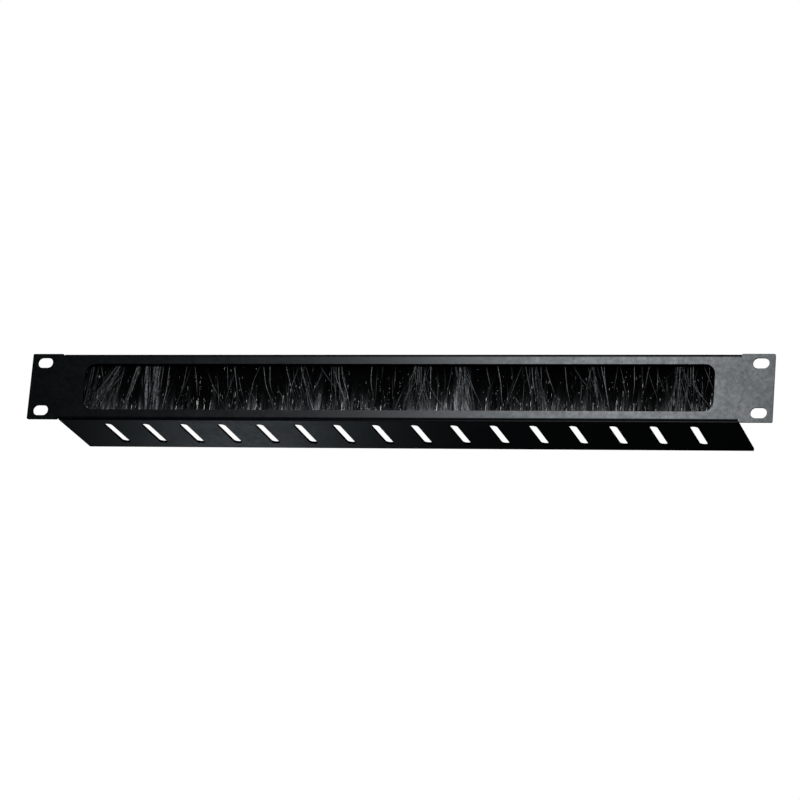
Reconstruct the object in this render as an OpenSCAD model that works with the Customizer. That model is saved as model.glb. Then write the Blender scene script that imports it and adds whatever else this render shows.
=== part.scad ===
// Rack brush strip panel: a folded sheet steel panel one rack unit high, with
// a cable window closed by a hanging brush and a slotted flange for cable ties.
// Frame: +X to the right, +Y to the back, +Z up. The origin is the centre of
// the four rack slots, on the rear face of the ears, where the rails touch it.

/* [Panel] */
// Overall width across both ears
panel_w = 482.6; // [476:0.1:490]
// Height of the ears and of the folded face
panel_h = 43.66; // [42:0.01:46]
// Thickness of the sheet
sheet_t = 1.5; // [1:0.1:2]
// Inside radius of both bends
bend_r = 0.6; // [0.4:0.1:1.6]
// Width of each ear, from its outer end to the folded part
ear_w = 21.3; // [19:0.1:26]
// Radius of the outer corners of the ears
ear_corner_r = 0.8; // [0.3:0.1:4]
// Width of the relief slit at each end of a bend
relief_w = 0.4; // [0.3:0.1:3]
// How far a relief slit runs past the bend
relief_over = 0.5; // [0.2:0.1:2]

/* [Rack slots] */
// Distance from the outer end of an ear to the middle of its slots
rack_inset = 8.75; // [8:0.05:10]
// Distance between the lower and the upper slots
rack_pitch_z = 31.75; // [30:0.05:33]
// Length of a rack slot from end to end
rack_slot_l = 10.2; // [9:0.1:12]
// Width of a rack slot
rack_slot_w = 6.8; // [6:0.1:8]

/* [Cable window] */
// Distance from the window to each end of the folded part
window_side = 15.5; // [12:0.5:40]
// Height of the bar that is left over and under the window
bar_h = 6.6; // [5:0.1:8]
// Radius of the window's corners
window_r = 6.5; // [2:0.1:10]

/* [Top flange] */
// Depth of the top flange from the face's front
top_flange_d = 19.5; // [18:0.5:30]
// Radius of the free corners of both flanges
flange_corner_r = 1; // [0.4:0.1:4]

/* [Lacing flange] */
// Depth of the lacing flange from the face's front
lacing_d = 63.5; // [58:0.5:90]
// Number of lacing slots
lacing_count = 16; // [4:1:17]
// Distance between two lacing slots
lacing_pitch = 25.4; // [22:0.1:26]
// Length of a lacing slot from end to end
lacing_slot_l = 42.5; // [20:0.5:44]
// Width of a lacing slot
lacing_slot_w = 5.5; // [4:0.1:8]
// Distance from the face's front to the near end of the lacing slots
lacing_inset = 10.8; // [6:0.1:13]

/* [Brush holder] */
// Distance from the brush and its holder to each end of the folded part
brush_side = 5; // [1:0.5:9]
// Gap between the holder and the back of the face
holder_gap = 0.3; // [0.2:0.1:1]
// Wall of the holder's socket
holder_wall = 1; // [0.8:0.1:1.4]
// Web over the socket
holder_web = 0.9; // [0.7:0.1:1.5]
// How far each lip of the socket reaches under the channel
holder_lip = 0.6; // [0.4:0.1:0.7]
// Thickness of the lips
holder_lip_t = 0.8; // [0.6:0.1:1.2]
// Radius of the socket's outer corners at the bend
holder_corner_r = 1.3; // [0.8:0.1:1.8]
// Thickness of the leg that is riveted to the top flange
leg_t = 1.2; // [1:0.1:2]
// Gap between the leg's free edge and the flange's free edge
leg_inset = 1.2; // [0.5:0.1:3]

/* [Brush] */
// Outer width of the folded channel
channel_w = 3.6; // [3.4:0.1:4]
// Outer height of the folded channel
channel_h = 3.3; // [3:0.1:3.6]
// Thickness of the channel's strip
channel_t = 0.5; // [0.4:0.05:0.6]
// Clearance of the channel in the socket, on each side
channel_gap = 0.1; // [0.05:0.05:0.2]
// Diameter of the core wire
wire_d = 1; // [0.8:0.1:1.1]
// Clearance between the pieces inside the brush
pack_gap = 0.05; // [0.03:0.01:0.08]

/* [Filaments] */
// Number of filament tufts in one row
tuft_count = 168; // [60:1:168]
// Thickness of a row
row_t = 0.42; // [0.3:0.02:0.44]
// Gap between two rows
row_gap = 0.1; // [0.04:0.01:0.12]
// Width of a tuft where it leaves the channel
tuft_root_w = 1.7; // [1:0.1:1.9]
// Width of a tuft at its tip
tuft_tip_w = 0.9; // [0.4:0.1:1.2]
// How far the tips lean to the side at most
lean = 5; // [0:0.5:6]
// Distance over which a row leans to one side and back
lean_wave = 66; // [50:1:120]
// How far the tips reach below the window's lower edge
tip_overlap = 2.4; // [1:0.1:3]
// How much the lengths of the tufts vary
tip_ragged = 0.7; // [0:0.1:1]

/* [Rivets] */
// Number of rivets
rivet_count = 7; // [3:1:7]
// Distance from the holder's end to the middle of the first rivet
rivet_end = 23; // [8:1:40]
// Diameter of a rivet's shank
rivet_d = 3.2; // [3:0.1:4]
// Diameter of the countersunk head
rivet_head_d = 5.6; // [5:0.1:6]
// Diameter of the set end under the leg
rivet_set_d = 4.8; // [4.4:0.1:5.2]
// Height of the set end under the leg
rivet_set_h = 1.9; // [1.5:0.1:3]
// Width of the round edge of the set end
rivet_set_edge = 0.25; // [0.1:0.05:0.4]
// Diameter of the mandrel
mandrel_d = 1.8; // [1.5:0.1:2]
// Diameter of the mandrel's head
mandrel_head_d = 3; // [2.6:0.1:3.1]
// Height of the mandrel's head
mandrel_head_h = 1; // [0.6:0.1:1.5]
// Depth of the mandrel's broken end under the top of the rivet
mandrel_break = 0.6; // [0.2:0.1:1]
// Clearance of a rivet in its holes, all round
rivet_gap = 0.05; // [0.03:0.01:0.1]

/* [Hidden] */
$fn = 48;
// Cutters reach this far past what they cut
over = 1;
body_w = panel_w - 2 * ear_w;
bend_out_r = bend_r + sheet_t;
top_z = panel_h / 2;
face_y = -sheet_t;
bend_y = face_y + bend_out_r;
bend_z = top_z - bend_out_r;
relief_h = bend_out_r + relief_over;
rack_pitch_x = panel_w - 2 * rack_inset;
window_w = body_w - 2 * window_side;
window_h = panel_h - 2 * bar_h;

brush_l = body_w - 2 * brush_side;
flange_under_z = top_z - sheet_t;
socket_in_w = channel_w + 2 * channel_gap;
socket_w = socket_in_w + 2 * holder_wall;
brush_y = holder_gap + socket_w / 2;
socket_roof_z = flange_under_z - holder_web;
socket_h = channel_h + 2 * channel_gap;
lip_top_z = socket_roof_z - socket_h;
lip_z = lip_top_z - holder_lip_t;
leg_end_y = top_flange_d + face_y - leg_inset;
leg_under_z = flange_under_z - leg_t;

channel_z = lip_top_z + channel_gap;
channel_top_z = channel_z + channel_h;
pack_w = 4 * row_t + 3 * row_gap + 2 * pack_gap;
fold_r = pack_w / 2;
fold_z = channel_top_z - channel_t - pack_gap - fold_r;
mouth_w = pack_w + 2 * pack_gap;
root_z = channel_z + row_t;

window_z = -window_h / 2;
tip_z = window_z - tip_overlap;
tuft_pitch = (brush_l - 2 * lean) / tuft_count;
rivet_pitch = (brush_l - 2 * rivet_end) / (rivet_count - 1);
rivet_y = (holder_gap + socket_w + leg_end_y) / 2;
rivet_hole_d = rivet_d + 2 * rivet_gap;
sink_h = (rivet_head_d - rivet_d) / 2 * tan(30);

function spread(i, count, pitch) = (i - (count - 1) / 2) * pitch;
function rivet_x(i) = spread(i - 1, rivet_count, rivet_pitch);

// A profile drawn as (y, z), swept along X and centred
module along_x(length) {
    rotate([90, 0, 90])
        linear_extrude(length, center = true) children();
}

// A slot with round ends, along X, its depth along Z and centred
module obround(length, width, depth) {
    cube([length - width, width, depth], center = true);
    for (side = [-1, 1])
        translate([side * (length - width) / 2, 0, 0])
            cylinder(h = depth, d = width, center = true);
}

// A plate with round corners, centred on X and Y, standing on z = 0
module round_plate(size, r, height) {
    translate([-size.x / 2 + r, -size.y / 2, 0]) cube([size.x - 2 * r, size.y, height]);
    translate([-size.x / 2, -size.y / 2 + r, 0]) cube([size.x, size.y - 2 * r, height]);
    for (sx = [-1, 1], sy = [-1, 1])
        translate([sx * (size.x / 2 - r), sy * (size.y / 2 - r), 0]) cylinder(h = height, r = r);
}

// ---- Panel ----

// Turns a shape drawn in X and Z, with its height as depth, to lie in the face
module in_face() {
    rotate([90, 0, 0]) children();
}

// An ear, with the neck between its two relief slits
module ear(side) {
    tab_w = ear_w - relief_w;
    translate([side * (panel_w - tab_w) / 2, 0, 0])
        in_face() round_plate([tab_w, panel_h], ear_corner_r, sheet_t);
    translate([side * (body_w + relief_w) / 2, face_y / 2, 0])
        cube([relief_w + 2 * over, sheet_t, panel_h - 2 * relief_h], center = true);
}

// The room that lies a given depth inside the folded sheet's outer surface,
// round at both bends, and as deep over the middle and under it as asked
module fold_room(inside, upper_d, lower_d) {
    translate([face_y + inside, -bend_z])
        square([bend_out_r - inside + over, 2 * bend_z]);
    for (half = [[1, upper_d], [-1, lower_d]]) {
        translate([bend_y, half[0] * bend_z]) circle(bend_out_r - inside);
        translate([bend_y, half[0] > 0 ? -over : inside - top_z])
            square([half[1] - bend_out_r, top_z - inside + over]);
    }
}

// The face, both bends and both flanges, as one profile
module folded_profile() {
    room_d = max(top_flange_d, lacing_d) + over;
    difference() {
        fold_room(0, top_flange_d, lacing_d);
        fold_room(sheet_t, room_d, room_d);
    }
}

// Takes the free corners of one flange round; side_z is 1 for the upper one
module flange_corners(depth, side_z) {
    for (side = [-1, 1])
        translate([side * body_w / 2, face_y + depth, side_z * top_z])
            difference() {
                cube([2 * flange_corner_r, 2 * flange_corner_r, 4 * sheet_t], center = true);
                translate([-side * flange_corner_r, -flange_corner_r, 0])
                    cylinder(h = 5 * sheet_t, r = flange_corner_r, center = true);
            }
}

module window_cutter() {
    translate([0, over, 0])
        in_face() round_plate([window_w, window_h], window_r, sheet_t + 2 * over);
}

module lacing_cutters() {
    for (i = [0 : lacing_count - 1])
        translate([spread(i, lacing_count, lacing_pitch),
                   face_y + lacing_inset + lacing_slot_l / 2, -top_z])
            rotate([0, 0, 90])
                obround(lacing_slot_l, lacing_slot_w, 2 * (sheet_t + over));
}

module rack_cutters() {
    for (sx = [-1, 1], sz = [-1, 1])
        translate([sx * rack_pitch_x / 2, 0, sz * rack_pitch_z / 2])
            in_face() obround(rack_slot_l, rack_slot_w, 4 * sheet_t);
}

module rivet_sinks() {
    for (i = [1 : rivet_count])
        translate([rivet_x(i), rivet_y, top_z]) {
            cylinder(h = 4 * sheet_t, d = rivet_hole_d, center = true);
            translate([0, 0, -sink_h])
                cylinder(h = sink_h, d1 = rivet_hole_d, d2 = rivet_head_d + 2 * rivet_gap);
        }
}

module panel() {
    color([0.06, 0.06, 0.07])
        difference() {
            union() {
                along_x(body_w) folded_profile();
                ear(-1);
                ear(1);
            }
            flange_corners(top_flange_d, 1);
            flange_corners(lacing_d, -1);
            window_cutter();
            lacing_cutters();
            rack_cutters();
            rivet_sinks();
        }
}

// ---- Brush ----

module holder_profile() {
    corner_y = holder_gap + holder_corner_r;
    difference() {
        union() {
            translate([corner_y, flange_under_z - holder_corner_r])
                circle(holder_corner_r);
            translate([corner_y, lip_z])
                square([socket_w - holder_corner_r, flange_under_z - lip_z]);
            translate([holder_gap, lip_z])
                square([holder_corner_r + over / 2, flange_under_z - holder_corner_r - lip_z]);
            translate([corner_y, leg_under_z])
                square([leg_end_y - corner_y, leg_t]);
        }
        translate([brush_y - socket_in_w / 2, lip_top_z])
            square([socket_in_w, socket_h]);
        translate([brush_y - socket_in_w / 2 + holder_lip, lip_z - over])
            square([socket_in_w - 2 * holder_lip, holder_lip_t + 2 * over]);
    }
}

module brush_holder() {
    color([0.1, 0.1, 0.11])
        difference() {
            along_x(brush_l) holder_profile();
            for (i = [1 : rivet_count])
                translate([rivet_x(i), rivet_y, leg_under_z])
                    cylinder(h = 4 * leg_t, d = rivet_hole_d, center = true);
        }
}

// The outline of the folded strip, or of the space inside it
module channel_outline(inset) {
    shoulder_r = channel_w / 2;
    shoulder_z = channel_top_z - shoulder_r;
    half_mouth = mouth_w / 2 + channel_t - inset;
    floor_z = channel_z - (inset > 0 ? over : 0);
    translate([brush_y, shoulder_z]) circle(shoulder_r - inset);
    translate([brush_y, 0])
        polygon([
            [-shoulder_r + inset, shoulder_z],
            [-half_mouth, channel_z],
            [-half_mouth, floor_z],
            [half_mouth, floor_z],
            [half_mouth, channel_z],
            [shoulder_r - inset, shoulder_z]
        ]);
}

// The strip is folded over the filaments and pinched onto them at its mouth
module channel_profile() {
    difference() {
        channel_outline(0);
        channel_outline(channel_t);
    }
}

module brush_channel() {
    color([0.72, 0.73, 0.75])
        along_x(brush_l) channel_profile();
}

module core_wire() {
    color([0.66, 0.66, 0.68])
        translate([0, brush_y, fold_z])
            rotate([0, 90, 0]) cylinder(h = brush_l, d = wire_d, center = true);
}

// The filaments are folded over the wire, and both halves hang down
module filament_fold() {
    along_x(brush_l)
        difference() {
            union() {
                translate([brush_y, fold_z]) circle(fold_r);
                translate([brush_y - fold_r, root_z]) square([pack_w, fold_z - root_z]);
            }
            translate([brush_y, fold_z]) circle(d = wire_d + 2 * pack_gap);
        }
}

// The side that a tuft leans to, and how far: the rows are out of step
function tip_shift(x, row) =
    lean * sin(360 * (x / lean_wave + row / 4) + 40 * row);
function ragged(i, row) = tip_ragged * sin(131 * i + 57 * row) * cos(47 * i);

function tuft(i, row) =
    let (x = spread(i, tuft_count, tuft_pitch),
         tip_x = x + tip_shift(x, row),
         z = tip_z + ragged(i, row))
    [[x - tuft_root_w / 2, channel_z], [tip_x - tuft_tip_w / 2, z],
     [tip_x + tuft_tip_w / 2, z], [x + tuft_root_w / 2, channel_z]];

module filament_row(row) {
    half_w = tuft_count * tuft_pitch / 2;
    y = brush_y + spread(row, 4, row_t + row_gap);
    translate([0, y + row_t / 2, 0])
        rotate([90, 0, 0])
            linear_extrude(row_t)
                polygon(concat(
                    [[-half_w, root_z + row_t / 2], [-half_w, channel_z]],
                    [for (i = [0 : tuft_count - 1]) each tuft(i, row)],
                    [[half_w, channel_z], [half_w, root_z + row_t / 2]]
                ));
}

module bristles() {
    color([0.05, 0.05, 0.05])
        union() {
            filament_fold();
            for (row = [0 : 3]) filament_row(row);
        }
}

// ---- Rivets ----

module rivet_profile() {
    set_z = leg_under_z - top_z;
    polygon([
        [mandrel_d / 2 + rivet_gap, 0],
        [rivet_head_d / 2, 0],
        [rivet_d / 2, -sink_h],
        [rivet_d / 2, set_z],
        [rivet_set_d / 2 - rivet_set_edge, set_z],
        [rivet_set_d / 2, set_z - rivet_set_edge],
        [rivet_set_d / 2, set_z - rivet_set_h / 2],
        [rivet_d / 2, set_z - rivet_set_h],
        [mandrel_d / 2 + rivet_gap, set_z - rivet_set_h]
    ]);
}

module rivet(i) {
    color([0.62, 0.63, 0.65])
        translate([rivet_x(i), rivet_y, top_z])
            rotate_extrude() rivet_profile();
}

// The mandrel broke off below the head, and its own head stays under the set end
module mandrel(i) {
    head_z = leg_under_z - top_z - rivet_set_h;
    color([0.5, 0.5, 0.52])
        translate([rivet_x(i), rivet_y, top_z])
            rotate_extrude()
                polygon([
                    [0, -mandrel_break],
                    [mandrel_d / 2, -mandrel_break],
                    [mandrel_d / 2, head_z],
                    [mandrel_head_d / 2, head_z],
                    [mandrel_d / 2, head_z - mandrel_head_h],
                    [0, head_z - mandrel_head_h]
                ]);
}

panel();
brush_holder();
brush_channel();
core_wire();
bristles();
for (i = [1 : rivet_count]) {
    rivet(i);
    mandrel(i);
}
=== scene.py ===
import math
import random

import bmesh
import bpy
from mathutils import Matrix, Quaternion, Vector


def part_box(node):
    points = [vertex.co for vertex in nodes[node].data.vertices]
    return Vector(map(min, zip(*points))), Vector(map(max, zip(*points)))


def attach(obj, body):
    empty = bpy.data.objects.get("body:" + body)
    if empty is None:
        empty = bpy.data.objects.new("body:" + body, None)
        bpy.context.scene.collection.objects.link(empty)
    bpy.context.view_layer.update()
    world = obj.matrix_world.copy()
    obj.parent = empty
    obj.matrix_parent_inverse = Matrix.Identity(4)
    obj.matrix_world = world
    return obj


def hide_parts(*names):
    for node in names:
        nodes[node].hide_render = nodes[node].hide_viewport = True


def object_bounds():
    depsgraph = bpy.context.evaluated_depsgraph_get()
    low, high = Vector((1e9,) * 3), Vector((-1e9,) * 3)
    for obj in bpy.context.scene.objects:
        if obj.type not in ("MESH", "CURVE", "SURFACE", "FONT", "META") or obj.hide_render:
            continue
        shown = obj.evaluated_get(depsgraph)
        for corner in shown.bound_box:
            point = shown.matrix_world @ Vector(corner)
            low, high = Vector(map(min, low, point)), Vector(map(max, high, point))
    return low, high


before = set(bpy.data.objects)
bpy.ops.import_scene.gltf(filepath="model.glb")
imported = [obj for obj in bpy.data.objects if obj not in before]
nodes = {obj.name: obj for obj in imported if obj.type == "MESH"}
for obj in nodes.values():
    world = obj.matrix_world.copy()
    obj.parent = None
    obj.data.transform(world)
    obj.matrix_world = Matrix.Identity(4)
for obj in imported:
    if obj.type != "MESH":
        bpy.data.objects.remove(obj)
cadLow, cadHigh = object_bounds()
print("frame loaded:", len(nodes), "solids")


# Node helper: a port is one socket of a material's tree, and sums on ports add Math nodes.
class Port:
    def __init__(self, tree, socket=None):
        self.tree = tree
        self.socket = socket

    def node(self, kind, settings=None, inputs=None, out=0):
        made = self.tree.nodes.new("ShaderNode" + kind)
        for name, value in (settings or {}).items():
            setattr(made, name, value)
        for name, value in (inputs or {}).items():
            self.join(made.inputs[name], value)
        return Port(self.tree, made.outputs[out])

    def join(self, target, value):
        if isinstance(value, Port):
            self.tree.links.new(value.socket, target)
        else:
            target.default_value = value

    def math(self, operation, *values):
        return self.node("Math", {"operation": operation}, dict(enumerate(values)))

    def __add__(self, other):
        return self.math("ADD", self, other)

    def __radd__(self, other):
        return self.math("ADD", other, self)

    def __sub__(self, other):
        return self.math("SUBTRACT", self, other)

    def __rsub__(self, other):
        return self.math("SUBTRACT", other, self)

    def __mul__(self, other):
        return self.math("MULTIPLY", self, other)

    def __rmul__(self, other):
        return self.math("MULTIPLY", other, self)

    def __truediv__(self, other):
        return self.math("DIVIDE", self, other)

    def __rpow__(self, other):
        return self.math("POWER", other, self)

    def above(self, low, high):  # 0 under low, 1 over high, smooth between
        return self.node("MapRange", {"interpolation_type": "SMOOTHSTEP", "clamp": True},
                         {"Value": self, "From Min": low, "From Max": high})

    def grain(self, place, scale, detail=2.0, roughness=0.5):
        return self.node("TexNoise", {"noise_dimensions": "3D"},
                         {"Vector": place, "Scale": scale, "Detail": detail, "Roughness": roughness})

    def cells(self, place, scale):
        return self.node("TexVoronoi", {"feature": "F1"}, {"Vector": place, "Scale": scale})

    def blend(self, amount, first, second):  # colours
        return self.node("Mix", {"data_type": "RGBA"}, {0: amount, 6: first, 7: second}, out=2)


def shade(r, g=None, b=None):
    return (r, r if g is None else g, r if b is None else b, 1.0)


def newFinish(name, constants):
    made = bpy.data.materials.new(name)
    made.use_nodes = True
    tree = made.node_tree
    shader = tree.nodes["Principled BSDF"]
    for socket, value in constants.items():
        shader.inputs[socket].default_value = value
    start = Port(tree)
    place = start.node("TexCoord", out=3)
    return made, start, place, shader


def stretched(start, place, along, across, up):
    return start.node("Mapping", {"vector_type": "POINT"}, {"Vector": place, "Scale": (along, across, up)})


# Powder coat: fine orange peel, cloudy gloss, a few specks, and paint knocked off one end.
powderCoat = {
    "colour": shade(0.0008, 0.0026, 0.0034),
    "cloud": shade(0.0012, 0.0034, 0.0042),
    "speck": shade(0.06, 0.065, 0.07),
    "bare": shade(0.36, 0.37, 0.38),
    "gloss": 0.355,
    "glossChange": 0.03,
    "peelScale": 900.0,
    "peelDepth": 0.00002,
    "speckScale": 150.0,
    "mottle": 0.18,  # how far the gloss changes from one grain of the coat to the next
    "chip": (0.0003, 0.0010),  # height of the chip's middle, half its height
}


def makePowderCoat(settings):
    made, start, place, shader = newFinish("powder_coat_black", {"IOR": 1.5, "Specular IOR Level": 0.5})
    cloud = start.grain(place, 60.0, 4.0, 0.6).above(0.35, 0.70)
    mottle = start.grain(place, 420.0, 2.0, 0.6)
    specks = 1 - start.cells(place, settings["speckScale"]).above(0.035, 0.065)
    rare = start.grain(place, 22.0, 0.0).above(0.60, 0.66)
    colour = start.blend(cloud, settings["colour"], settings["cloud"])
    colour = start.blend(specks * rare, colour, settings["speck"])
    axes = start.node("SeparateXYZ", None, {0: place})
    across = Port(start.tree, axes.socket.node.outputs[0])
    upward = Port(start.tree, axes.socket.node.outputs[2])
    middle, half = settings["chip"]
    endDistance = cadHigh.x - across + start.grain(place, 1500.0, 1.0) * 0.0006
    chip = (1 - endDistance.above(0.0003, 0.0007)) * (
        1 - start.math("ABSOLUTE", upward - middle).above(half * 0.6, half))
    colour = start.blend(chip, colour, settings["bare"])
    roughness = settings["gloss"] + (cloud - 0.5) * settings["glossChange"]
    roughness = roughness + (mottle - 0.5) * settings["mottle"]
    peel = start.grain(place, settings["peelScale"], 1.0)
    fine = start.grain(place, settings["peelScale"] * 2.7, 1.0)
    height = peel * 0.75 + fine * 0.25 - chip * 2.0
    start.join(shader.inputs["Base Color"], colour)
    start.join(shader.inputs["Roughness"], roughness)
    bump = start.node("Bump", None, {"Strength": 1.0, "Distance": settings["peelDepth"], "Height": height})
    start.join(shader.inputs["Normal"], bump)
    return made


# Black anodised holder: die lines along the extrusion.
anodised = {"colour": shade(0.014), "worn": shade(0.035), "gloss": 0.34, "lineDepth": 0.000006}


def makeAnodised(settings):
    made, start, place, shader = newFinish("black_anodised", {"IOR": 1.6, "Metallic": 0.25})
    lines = start.grain(stretched(start, place, 3.0, 2600.0, 2600.0), 1.0, 3.0, 0.6)
    patch = start.grain(place, 35.0, 3.0)
    start.join(shader.inputs["Base Color"],
               start.blend(lines.above(0.52, 0.80) * 0.6 + patch.above(0.55, 0.8) * 0.3,
                           settings["colour"], settings["worn"]))
    start.join(shader.inputs["Roughness"], settings["gloss"] + (lines - 0.5) * 0.16 + (patch - 0.5) * 0.08)
    bump = start.node("Bump", None, {"Strength": 1.0, "Distance": settings["lineDepth"], "Height": lines})
    start.join(shader.inputs["Normal"], bump)
    return made


# Zinc plated strip: bright grey with a soft spangle and rolling marks.
zinc = {"colour": shade(0.50, 0.52, 0.54), "dull": shade(0.33, 0.34, 0.36), "gloss": 0.36}


def makeZinc(settings):
    made, start, place, shader = newFinish("zinc_plated", {"Metallic": 1.0})
    spangle = start.cells(place, 420.0)
    rolled = start.grain(stretched(start, place, 8.0, 1800.0, 1800.0), 1.0, 2.0)
    start.join(shader.inputs["Base Color"],
               start.blend(spangle.above(0.2, 0.9) * 0.6 + rolled * 0.4, settings["colour"], settings["dull"]))
    start.join(shader.inputs["Roughness"], settings["gloss"] + (spangle - 0.4) * 0.14 + (rolled - 0.5) * 0.12)
    bump = start.node("Bump", None, {"Strength": 0.6, "Distance": 0.000008, "Height": rolled})
    start.join(shader.inputs["Normal"], bump)
    return made


# Drawn steel core wire: fine lines along its length.
wire = {"colour": shade(0.42, 0.42, 0.43), "dull": shade(0.20), "gloss": 0.30}


def makeWire(settings):
    made, start, place, shader = newFinish("drawn_steel_wire", {"Metallic": 1.0})
    lines = start.grain(stretched(start, place, 5.0, 5200.0, 5200.0), 1.0, 2.0)
    start.join(shader.inputs["Base Color"],
               start.blend(lines.above(0.4, 0.75), settings["colour"], settings["dull"]))
    start.join(shader.inputs["Roughness"], settings["gloss"] + (lines - 0.5) * 0.2)
    bump = start.node("Bump", None, {"Strength": 0.5, "Distance": 0.000005, "Height": lines})
    start.join(shader.inputs["Normal"], bump)
    return made


# Rivet bodies and mandrels: aluminium with upsetting marks, steel with a torn end.
rivetFinish = {"colour": shade(0.60, 0.61, 0.62), "dull": shade(0.40), "gloss": 0.30}
mandrelFinish = {"colour": shade(0.38, 0.37, 0.36), "dull": shade(0.14, 0.13, 0.12), "gloss": 0.38}


def makeTurned(name, settings, depth):
    made, start, place, shader = newFinish(name, {"Metallic": 1.0})
    marks = start.grain(place, 1400.0, 3.0, 0.65)
    tarnish = start.grain(place, 160.0, 3.0).above(0.45, 0.75)
    start.join(shader.inputs["Base Color"],
               start.blend(tarnish * 0.7 + marks * 0.3, settings["colour"], settings["dull"]))
    start.join(shader.inputs["Roughness"], settings["gloss"] + (marks - 0.5) * 0.2 + tarnish * 0.08)
    bump = start.node("Bump", None, {"Strength": 1.0, "Distance": depth, "Height": marks})
    start.join(shader.inputs["Normal"], bump)
    return made


# Nylon filaments: black all over, with painted glints on the paler strays and painted light on the filament
# ends near the window's lower edge.
nylon = {
    "colour": shade(0.0010, 0.0011, 0.0012),
    # pale: colour of the painted glints and of the painted light on the filament ends
    "pale": shade(0.90, 0.91, 0.92),
    "gloss": 0.50,
    "edge": -0.0152,  # height of the window's lower edge, where the painted light on the filament ends is brightest
}


def makeNylon(settings):
    made, start, place, shader = newFinish("black_nylon", {"IOR": 1.53, "Specular IOR Level": 0.03})
    # painted glints: paler stretches on some filaments, in patches, standing in for highlights
    painted_glint = start.node("Attribute", {"attribute_name": "painted_glint"}, out=2)
    tip_light = start.node("Attribute", {"attribute_name": "tip_light"}, out=2)
    rise = start.node("Attribute", {"attribute_name": "rise"}, out=2)
    axes = start.node("SeparateXYZ", None, {0: place})
    height = Port(start.tree, axes.socket.node.outputs[2]) - settings["edge"]
    # painted light: paler lower filament ends, fading upward from the window's lower edge
    paintedTipLight = tip_light * 0.5 ** (height / rise)
    patches = start.grain(place, 700.0, 2.0, 0.6).above(0.30, 0.62)
    paleness = start.math("MINIMUM", painted_glint * (patches * 0.7 + 0.3) + paintedTipLight, 1.0)
    start.join(shader.inputs["Base Color"], start.blend(paleness, settings["colour"], settings["pale"]))
    start.join(shader.inputs["Roughness"], settings["gloss"] + paintedTipLight * 0.2)
    return made


coat = makePowderCoat(powderCoat)
finishes = {
    "panel": coat,
    "brush_holder": makeAnodised(anodised),
    "brush_channel": makeZinc(zinc),
    "core_wire": makeWire(wire),
    "rivet": makeTurned("rivet_aluminium", rivetFinish, 0.00001),
    "mandrel": makeTurned("mandrel_steel", mandrelFinish, 0.00002),
}
nylonFinish = makeNylon(nylon)
for name, node in nodes.items():
    kind = name if name in finishes else name.split("_")[0]
    if kind in finishes:
        for place in node.material_slots:
            place.material = finishes[kind]
print("finishes on the solids")


# Filaments: three rows that hang from the folded channel past the window's lower edge, in metres.
filaments = {
    "count": 4650,
    "thickness": 0.00022,
    "paleThickness": 0.00028,
    "tipShare": 0.7,  # thickness of the tip, as a share of the root's
    "points": 5,
    "palePoints": 11,
    "paleFrom": 0.12,  # a filament with more paleness than this is thick, wavy and in front
    "proud": 0.08,  # how far a pale filament stands before its row, as a share of the pack
    "rootInset": 0.0006,
    "tipGap": 0.0003,
    "endGap": 0.0004,
    "ragged": 0.0016,
    "wave": 0.0004,
    "paleWave": 0.0007,
    "turns": 5.0,  # radians of the wave from root to tip
    "fan": 1.5,
    "bow": 1.1,
    "lean": 0.05,
    "clump": 0.0024,
    "clumpSpacing": (0.45, 1.6),
    "clumpPull": 0.65,
    "clumpCore": 0.0006,  # half width of the painted light in a clump's middle
    "clumpPaleness": (-0.3, 0.8),  # logarithm's mean and spread of a clump's painted light
    # fringe settings: painted light on the filament ends, standing in for the light that reaches them below
    # the top bar's shade
    "fringe": 2.4,
    "fringeBase": 0.15,
    "fringeSpread": (0.2, 1.5),
    "rise": (0.0016, 0.0034),  # height in which the painted light on the filament ends halves
}
bundled = {  # how the filaments of one bundle differ
    "narrow": 0.6,
    "paleness": (0.3, 1.6),
    "middle": (-0.012, 0.014),
    "half": (0.003, 0.012),
}
# stray filaments, a few with painted glints
straying = {"lean": (0.12, 0.25), "paleness": 0.5, "middle": (-0.012, 0.012), "half": (0.002, 0.008)}
rows = {  # place in the brush from front to back, strays per metre, looseness, seed
    "brush_filaments_front": {"from": -0.95, "to": -0.25, "strays": 420, "loose": 1.0, "seed": 11},
    "brush_filaments_middle": {"from": -0.30, "to": 0.30, "strays": 0, "loose": 0.0, "seed": 12},
    "brush_filaments_rear": {"from": 0.25, "to": 0.95, "strays": 300, "loose": 0.5, "seed": 13},
}
bundles = [  # middle at the root, half width, filaments, lean, spread of leans, paleness of the painted glints
    (-0.1960, 0.0080, 26, -0.10, 0.15, 0.14),
    (-0.1820, 0.0040, 26, -0.50, 0.10, 0.30),
    (-0.1700, 0.0030, 9, -0.24, 0.05, 0.42),
    (-0.1640, 0.0012, 9, 0.03, 0.03, 0.80),
    (-0.1575, 0.0036, 30, 0.02, 0.06, 0.62),
    (-0.0640, 0.0080, 12, 0.25, 0.12, 0.30),
    (-0.0380, 0.0050, 12, 0.22, 0.14, 0.34),
    (0.0155, 0.0050, 26, 0.00, 0.22, 0.34),
    (0.0420, 0.0045, 24, 0.20, 0.18, 0.46),
    (0.0900, 0.0080, 14, 0.22, 0.12, 0.34),
    (0.1290, 0.0040, 10, 0.24, 0.12, 0.34),
    (0.1850, 0.0080, 26, 0.10, 0.25, 0.36),
]
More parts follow.
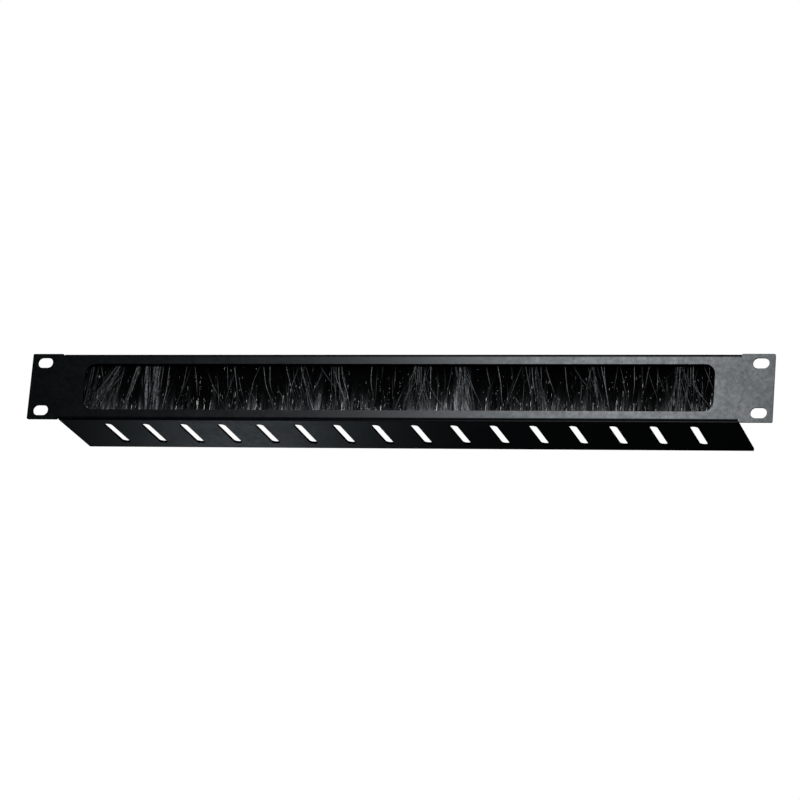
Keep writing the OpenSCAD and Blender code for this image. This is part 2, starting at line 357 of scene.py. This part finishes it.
strands = [  # single filaments with a painted glint: place at the root, lean, paleness, highest and lowest point of the painted glint
    (-0.196, 0.40, 0.35, 14, 6), (-0.184, 0.05, 0.60, 16, -6), (-0.169, -0.22, 0.50, 16, -6),
    (-0.149, -0.06, 0.80, 16, -14), (-0.137, -0.17, 0.40, 14, -6), (-0.133, 0.25, 0.50, 14, -1),
    (-0.111, 0.20, 0.50, 14, 2), (-0.106, 0.20, 0.80, 16, -3), (-0.104, -0.22, 0.40, 7, -6),
    (-0.105, 0.60, 0.50, -5, -14), (-0.088, -0.27, 0.35, 12, -9), (-0.087, 0.33, 0.70, 16, -10),
    (-0.083, 0.30, 0.70, 14, 0), (-0.072, 0.36, 0.70, 16, -1), (-0.062, 0.30, 0.65, 16, -14),
    (-0.050, 0.80, 0.30, 13, 0), (-0.044, -0.41, 0.35, 7, -2), (-0.037, 0.23, 1.00, 16, -10),
    (-0.035, 0.26, 0.70, 16, -14), (-0.015, 0.10, 0.80, 16, -2), (0.000, 0.06, 0.40, 11, 2),
    (0.015, 0.00, 0.60, 13, -1), (0.016, 0.62, 0.60, 2, -10), (0.023, 0.10, 1.00, 16, 3),
    (0.041, 0.35, 1.00, 16, 6), (0.045, 0.11, 0.60, 16, -7), (0.049, -0.08, 0.50, 8, -6),
    (0.059, 0.22, 0.50, 12, 3), (0.066, 0.22, 1.00, 16, -6), (0.065, 0.66, 0.50, -7, -13),
    (0.082, -0.28, 0.40, 11, -5), (0.084, 0.25, 0.60, 16, -6), (0.088, 0.21, 0.90, 14, -2),
    (0.097, 0.30, 0.60, 14, 0), (0.109, 0.21, 0.70, 16, -6), (0.114, 0.78, 0.30, 12, 0),
    (0.126, 0.37, 0.60, 14, 6), (0.132, 0.25, 1.00, 16, -14), (0.134, 0.13, 0.80, 14, -1),
    (0.153, 0.03, 0.80, 16, -1), (0.168, 0.04, 0.50, 10, 1), (0.182, 0.01, 0.60, 14, -1),
    (0.190, 0.11, 0.80, 16, 3), (0.180, 0.80, 0.70, 2, -10), (0.196, 0.44, 0.40, 12, 1),
]
fringe = [  # place along the brush, how bright the painted light on the filament ends is there
    (-0.200, 0.10), (-0.165, 0.16), (-0.145, 0.09), (-0.125, 0.03), (-0.105, 0.09), (-0.085, 0.08),
    (-0.055, 0.20), (-0.020, 0.13), (0.005, 0.09), (0.022, 0.30), (0.045, 0.44), (0.057, 0.08),
    (0.075, 0.09), (0.100, 0.17), (0.115, 0.24), (0.135, 0.18), (0.160, 0.12), (0.185, 0.20), (0.200, 0.22),
]


def fringeAt(x):
    for (x0, y0), (x1, y1) in zip(fringe, fringe[1:]):
        if x <= x1:
            return y0 + (y1 - y0) * max(0.0, x - x0) / (x1 - x0)
    return fringe[-1][1]


def planClumps(chance, half, settings):  # place, paleness of its painted light, height in which it halves
    clumps = []
    edge = -half
    while edge < half:
        clumps.append((edge, chance.lognormvariate(*settings["clumpPaleness"]),
                       chance.uniform(*settings["rise"])))
        edge += settings["clump"] * chance.uniform(*settings["clumpSpacing"])
    return clumps


def planFilaments(chance, row, front, half, settings):
    plan = []  # place at the root, lean, paleness, middle and half of the painted glint's stretch, pull to the clump
    if front:
        for middle, width, number, lean, spread, pale in bundles:
            for turn in range(number):
                plan.append((middle + chance.gauss(0, bundled["narrow"]) * width,
                             lean + chance.gauss(0, spread),
                             pale * chance.uniform(*bundled["paleness"]), chance.uniform(*bundled["middle"]),
                             chance.uniform(*bundled["half"]), 0.0))
        for x, lean, pale, top, bottom in strands:  # heights in millimetres
            plan.append((x, lean, pale, 0.0005 * (top + bottom), 0.0005 * (top - bottom), 0.0))
    for turn in range(int(row["strays"] * 2 * half)):
        plan.append((chance.uniform(-half, half), chance.gauss(*straying["lean"]),
                     straying["paleness"] * chance.random() ** 3, chance.uniform(*straying["middle"]),
                     chance.uniform(*straying["half"]), 0.0))
    bulk = settings["count"] - len(plan)
    for turn in range(bulk):
        plan.append((half * (2 * (turn + chance.random()) / bulk - 1),
                     chance.gauss(0, settings["lean"]) * row["loose"], 0.0, 0.0, 1.0,
                     settings["clumpPull"] * row["loose"]))
    return plan


def drawPaths(name, row, front, settings):
    chance = random.Random(row["seed"])
    channelLow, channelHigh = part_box("brush_channel")
    brushLow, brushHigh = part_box("bristles")
    middleY = (channelLow.y + channelHigh.y) / 2
    packHalf = (channelHigh.y - channelLow.y) / 2 - settings["rootInset"]
    rootZ = channelLow.z + settings["rootInset"]
    reach = rootZ - brushLow.z - settings["tipGap"]
    half = brushHigh.x - settings["endGap"]
    clumps = planClumps(chance, half, settings)
    plan = planFilaments(chance, row, front, half, settings)
    curve = bpy.data.curves.new(name + "_path", "CURVE")
    curve.dimensions = "3D"
    curve.bevel_depth = 1.0
    curve.bevel_resolution = 0  # four sides
    sides = 4
    marks = {"painted_glint": [], "tip_light": [], "rise": []}
    for x, lean, painted_glint, paleMiddle, paleHalf, pull in plan:
        pale = painted_glint > settings["paleFrom"]
        steps = settings["palePoints" if pale else "points"]
        x = max(-half, min(half, x))
        near = min(clumps, key=lambda c: abs(c[0] - x - lean * reach))
        depth = row["from"] - settings["proud"] if pale else chance.uniform(row["from"], row["to"])
        drop = reach - chance.random() ** 2 * settings["ragged"]
        phase = chance.uniform(0, 2 * math.pi)
        wave = settings["paleWave" if pale else "wave"] * chance.gauss(0, 1)
        endX = x + lean * drop
        endX = max(-half, min(half, endX - (endX - near[0]) * pull))
        core = math.exp(-((endX - near[0]) / settings["clumpCore"]) ** 2)
        # painted light on this filament's lower end, stronger in a clump's middle
        tipLightAmount = settings["fringe"] * fringeAt(endX) * (settings["fringeBase"] + near[1] * core)
        tipLightAmount *= chance.uniform(*settings["fringeSpread"])
        thickness = settings["paleThickness" if pale else "thickness"]
        spline = curve.splines.new("POLY")
        spline.points.add(steps - 1)
        for index, point in enumerate(spline.points):
            t = index / (steps - 1)
            sway = wave * math.sin(math.pi * t) * math.sin(phase + settings["turns"] * t)
            point.co = (x + (endX - x) * t ** settings["bow"] + sway,
                        middleY + depth * packHalf * (1 + settings["fan"] * t) + 0.3 * sway,
                        rootZ - drop * t, 1.0)
            point.radius = 0.5 * thickness * (1 + (settings["tipShare"] - 1) * t)
            # painted glint: palest between the glint's highest and lowest point, fading beyond
            glow = painted_glint / (1 + ((point.co[2] - paleMiddle) / paleHalf) ** 4)
            marks["painted_glint"] += [glow] * sides
            marks["tip_light"] += [tipLightAmount] * sides
            marks["rise"] += [near[2]] * sides
    print(name, len(plan), "filaments")
    return curve, marks


def brushFilaments(name, row, front, settings):
    curve, marks = drawPaths(name, row, front, settings)
    holder = bpy.data.objects.new(name + "_path", curve)
    bpy.context.scene.collection.objects.link(holder)
    bpy.context.view_layer.update()
    shown = holder.evaluated_get(bpy.context.evaluated_depsgraph_get())
    mesh = bpy.data.meshes.new_from_object(shown)
    bpy.data.objects.remove(holder)
    mesh.name = name
    for mark, values in marks.items():
        layer = mesh.attributes.new(mark, "FLOAT", "POINT")
        layer.data.foreach_set("value", values)
    form = bmesh.new()
    form.from_mesh(mesh)
    bmesh.ops.holes_fill(form, edges=[edge for edge in form.edges if edge.is_boundary], sides=4)
    bmesh.ops.recalc_face_normals(form, faces=form.faces)
    form.to_mesh(mesh)
    form.free()
    mesh.shade_smooth()
    mesh.materials.clear()
    mesh.materials.append(nylonFinish)
    piece = bpy.data.objects.new(name, mesh)
    bpy.context.scene.collection.objects.link(piece)
    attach(piece, "root")
    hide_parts("bristles")


for name, row in rows.items():
    brushFilaments(name, row, name.endswith("front"), filaments)
print("brush made")


# Camera: low and to the right of the middle, turned a little about its own axis.
camera = {
    "place": (0.61034, -2.13693, -0.65383),
    "aim": (0.00549, 0.0, -0.00800),
    "turn": 4.703,
    "lens": 166.36,
}


def makeCamera(settings):
    data = bpy.data.cameras.new("camera")
    data.lens = settings["lens"]
    data.sensor_width = 36.0
    data.clip_start = 0.1
    data.clip_end = 60.0
    made = bpy.data.objects.new("camera", data)
    place = Vector(settings["place"])
    look = (Vector(settings["aim"]) - place).to_track_quat("-Z", "Y")
    made.location = place
    made.rotation_mode = "QUATERNION"
    made.rotation_quaternion = look @ Quaternion((0, 0, 1), math.radians(settings["turn"]))
    bpy.context.scene.collection.objects.link(made)
    bpy.context.scene.camera = made


makeCamera(camera)
print("camera placed")


# Studio: softboxes as area lights; the floor and the backdrop are only seen, they throw no light.
lights = {
    "key": {"place": (0.015, -0.657, 0.201), "aim": (0.17, 0.0, 0.0), "size": 0.20, "power": 2.25,
            "tint": (0.94, 1.0, 1.05)},
    "low": {"place": (0.02, 0.04, -0.75), "aim": (0.15, 0.0, -0.02), "size": 0.25, "power": 0.40,
            "tint": (0.95, 1.0, 1.05)},
    "under": {"place": (-0.645, 1.67, -0.52), "aim": (-0.10, 0.03, -0.02), "size": 0.16, "power": 0.11,
              "tint": (0.86, 1.0, 1.08)},
    "left": {"place": (-1.2, -0.7, 0.42), "aim": (0.0, 0.0, 0.0), "size": 0.5, "power": 0.06,
             "tint": (0.80, 1.0, 1.10)},
    "back": {"place": (0.9, 1.4, 1.3), "aim": (0.0, 0.02, 0.0), "size": 1.4, "power": 0.5,
             "tint": (1.0, 1.0, 1.0)},
}


def makeLight(name, settings):
    data = bpy.data.lights.new(name, "AREA")
    data.shape = "SQUARE"
    data.size = settings["size"]
    data.energy = settings["power"]
    data.color = settings["tint"]
    made = bpy.data.objects.new(name, data)
    made.location = settings["place"]
    made.rotation_mode = "QUATERNION"
    made.rotation_quaternion = (Vector(settings["aim"]) - Vector(settings["place"])).to_track_quat("-Z", "Y")
    made.visible_camera = False
    bpy.context.scene.collection.objects.link(made)


for name, settings in lights.items():
    makeLight(name, settings)

world = bpy.data.worlds.new("studio")
world.use_nodes = True
world.node_tree.nodes["Background"].inputs["Color"].default_value = (1.0, 1.0, 1.0, 1.0)
world.node_tree.nodes["Background"].inputs["Strength"].default_value = 0.002
bpy.context.scene.world = world


def paleStage(name, colour, strength):
    made = bpy.data.materials.new(name)
    made.use_nodes = True
    tree = made.node_tree
    tree.nodes.remove(tree.nodes["Principled BSDF"])
    start = Port(tree)
    place = start.node("TexCoord", out=3)
    cloud = start.grain(place, 1.5, 2.0)
    tint = start.blend(cloud, colour, tuple(0.99 * c for c in colour[:3]) + (1.0,))
    glow = start.node("Emission", None, {"Color": tint, "Strength": strength})
    tree.links.new(glow.socket, tree.nodes["Material Output"].inputs["Surface"])
    return made


def seenOnly(piece):
    piece.visible_diffuse = False
    piece.visible_glossy = False
    piece.visible_transmission = False
    piece.visible_shadow = False
    piece.visible_volume_scatter = False


def makeStage(floorDrop, radius):
    form = bmesh.new()
    bmesh.ops.create_grid(form, x_segments=1, y_segments=1, size=radius)
    bmesh.ops.translate(form, verts=form.verts, vec=(0, 0, cadLow.z - floorDrop))
    mesh = bpy.data.meshes.new("floor")
    form.to_mesh(mesh)
    form.free()
    mesh.materials.append(paleStage("floor_pale", shade(0.90), 1.0))
    floor = bpy.data.objects.new("floor", mesh)
    bpy.context.scene.collection.objects.link(floor)
    seenOnly(floor)
    form = bmesh.new()
    bmesh.ops.create_icosphere(form, subdivisions=4, radius=radius * 0.9)
    bmesh.ops.reverse_faces(form, faces=form.faces)
    mesh = bpy.data.meshes.new("backdrop")
    form.to_mesh(mesh)
    form.free()
    mesh.materials.append(paleStage("backdrop_white", shade(1.0), 1.02))
    backdrop = bpy.data.objects.new("backdrop", mesh)
    bpy.context.scene.collection.objects.link(backdrop)
    seenOnly(backdrop)


makeStage(2.7, 12.0)
bpy.context.scene.view_settings.view_transform = "Standard"
print("studio lit")
